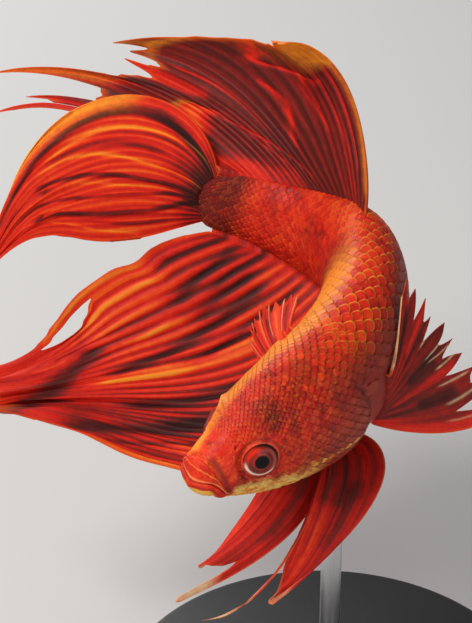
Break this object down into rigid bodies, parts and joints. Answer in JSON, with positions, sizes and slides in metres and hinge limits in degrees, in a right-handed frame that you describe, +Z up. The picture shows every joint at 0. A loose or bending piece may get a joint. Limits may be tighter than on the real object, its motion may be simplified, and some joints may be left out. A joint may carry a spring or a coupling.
{
  "type": "betta fish display model",
  "caption": "Life-size still model of a long-finned red betta fish turning sharply, with veil-like fins, held above a round base by a slim rod.",
  "frame": {"origin": "centre of the stand base's flat underside, on the axis of the rod", "axes": "+Z up; +Y away from a viewer who sees the fish's head at the front left and its tail coming back to the left behind; +X to that viewer's right"},
  "size_m": [0.0595, 0.0543, 0.0663],
  "materials": {
    "flesh": "moist satin skin with small overlapping scales, red to maroon with orange edges",
    "fin": "thin satin membrane with fine raised rays, red with maroon bands and orange margins",
    "eye": "clear glossy eye, dark pupil in a red and pale iris",
    "base": "satin black moulded base",
    "rod": "fine drawn steel rod"
  },
  "bodies": {
    "root": {"head": "flesh", "jaw_lower": "flesh", "gill_cover_left": "flesh", "gill_cover_right": "flesh", "trunk_front": "flesh", "trunk_rear": "flesh", "tail_stock": "flesh", "eye_left": "eye", "eye_right": "eye", "fin_dorsal": "fin", "fin_anal": "fin", "fin_caudal": "fin", "fin_pectoral_left": "fin", "fin_pectoral_right": "fin", "fin_pelvic_left": "fin", "fin_pelvic_right": "fin", "stand_base": "base", "stand_rod": "rod"}
  },
  "joints": []
}
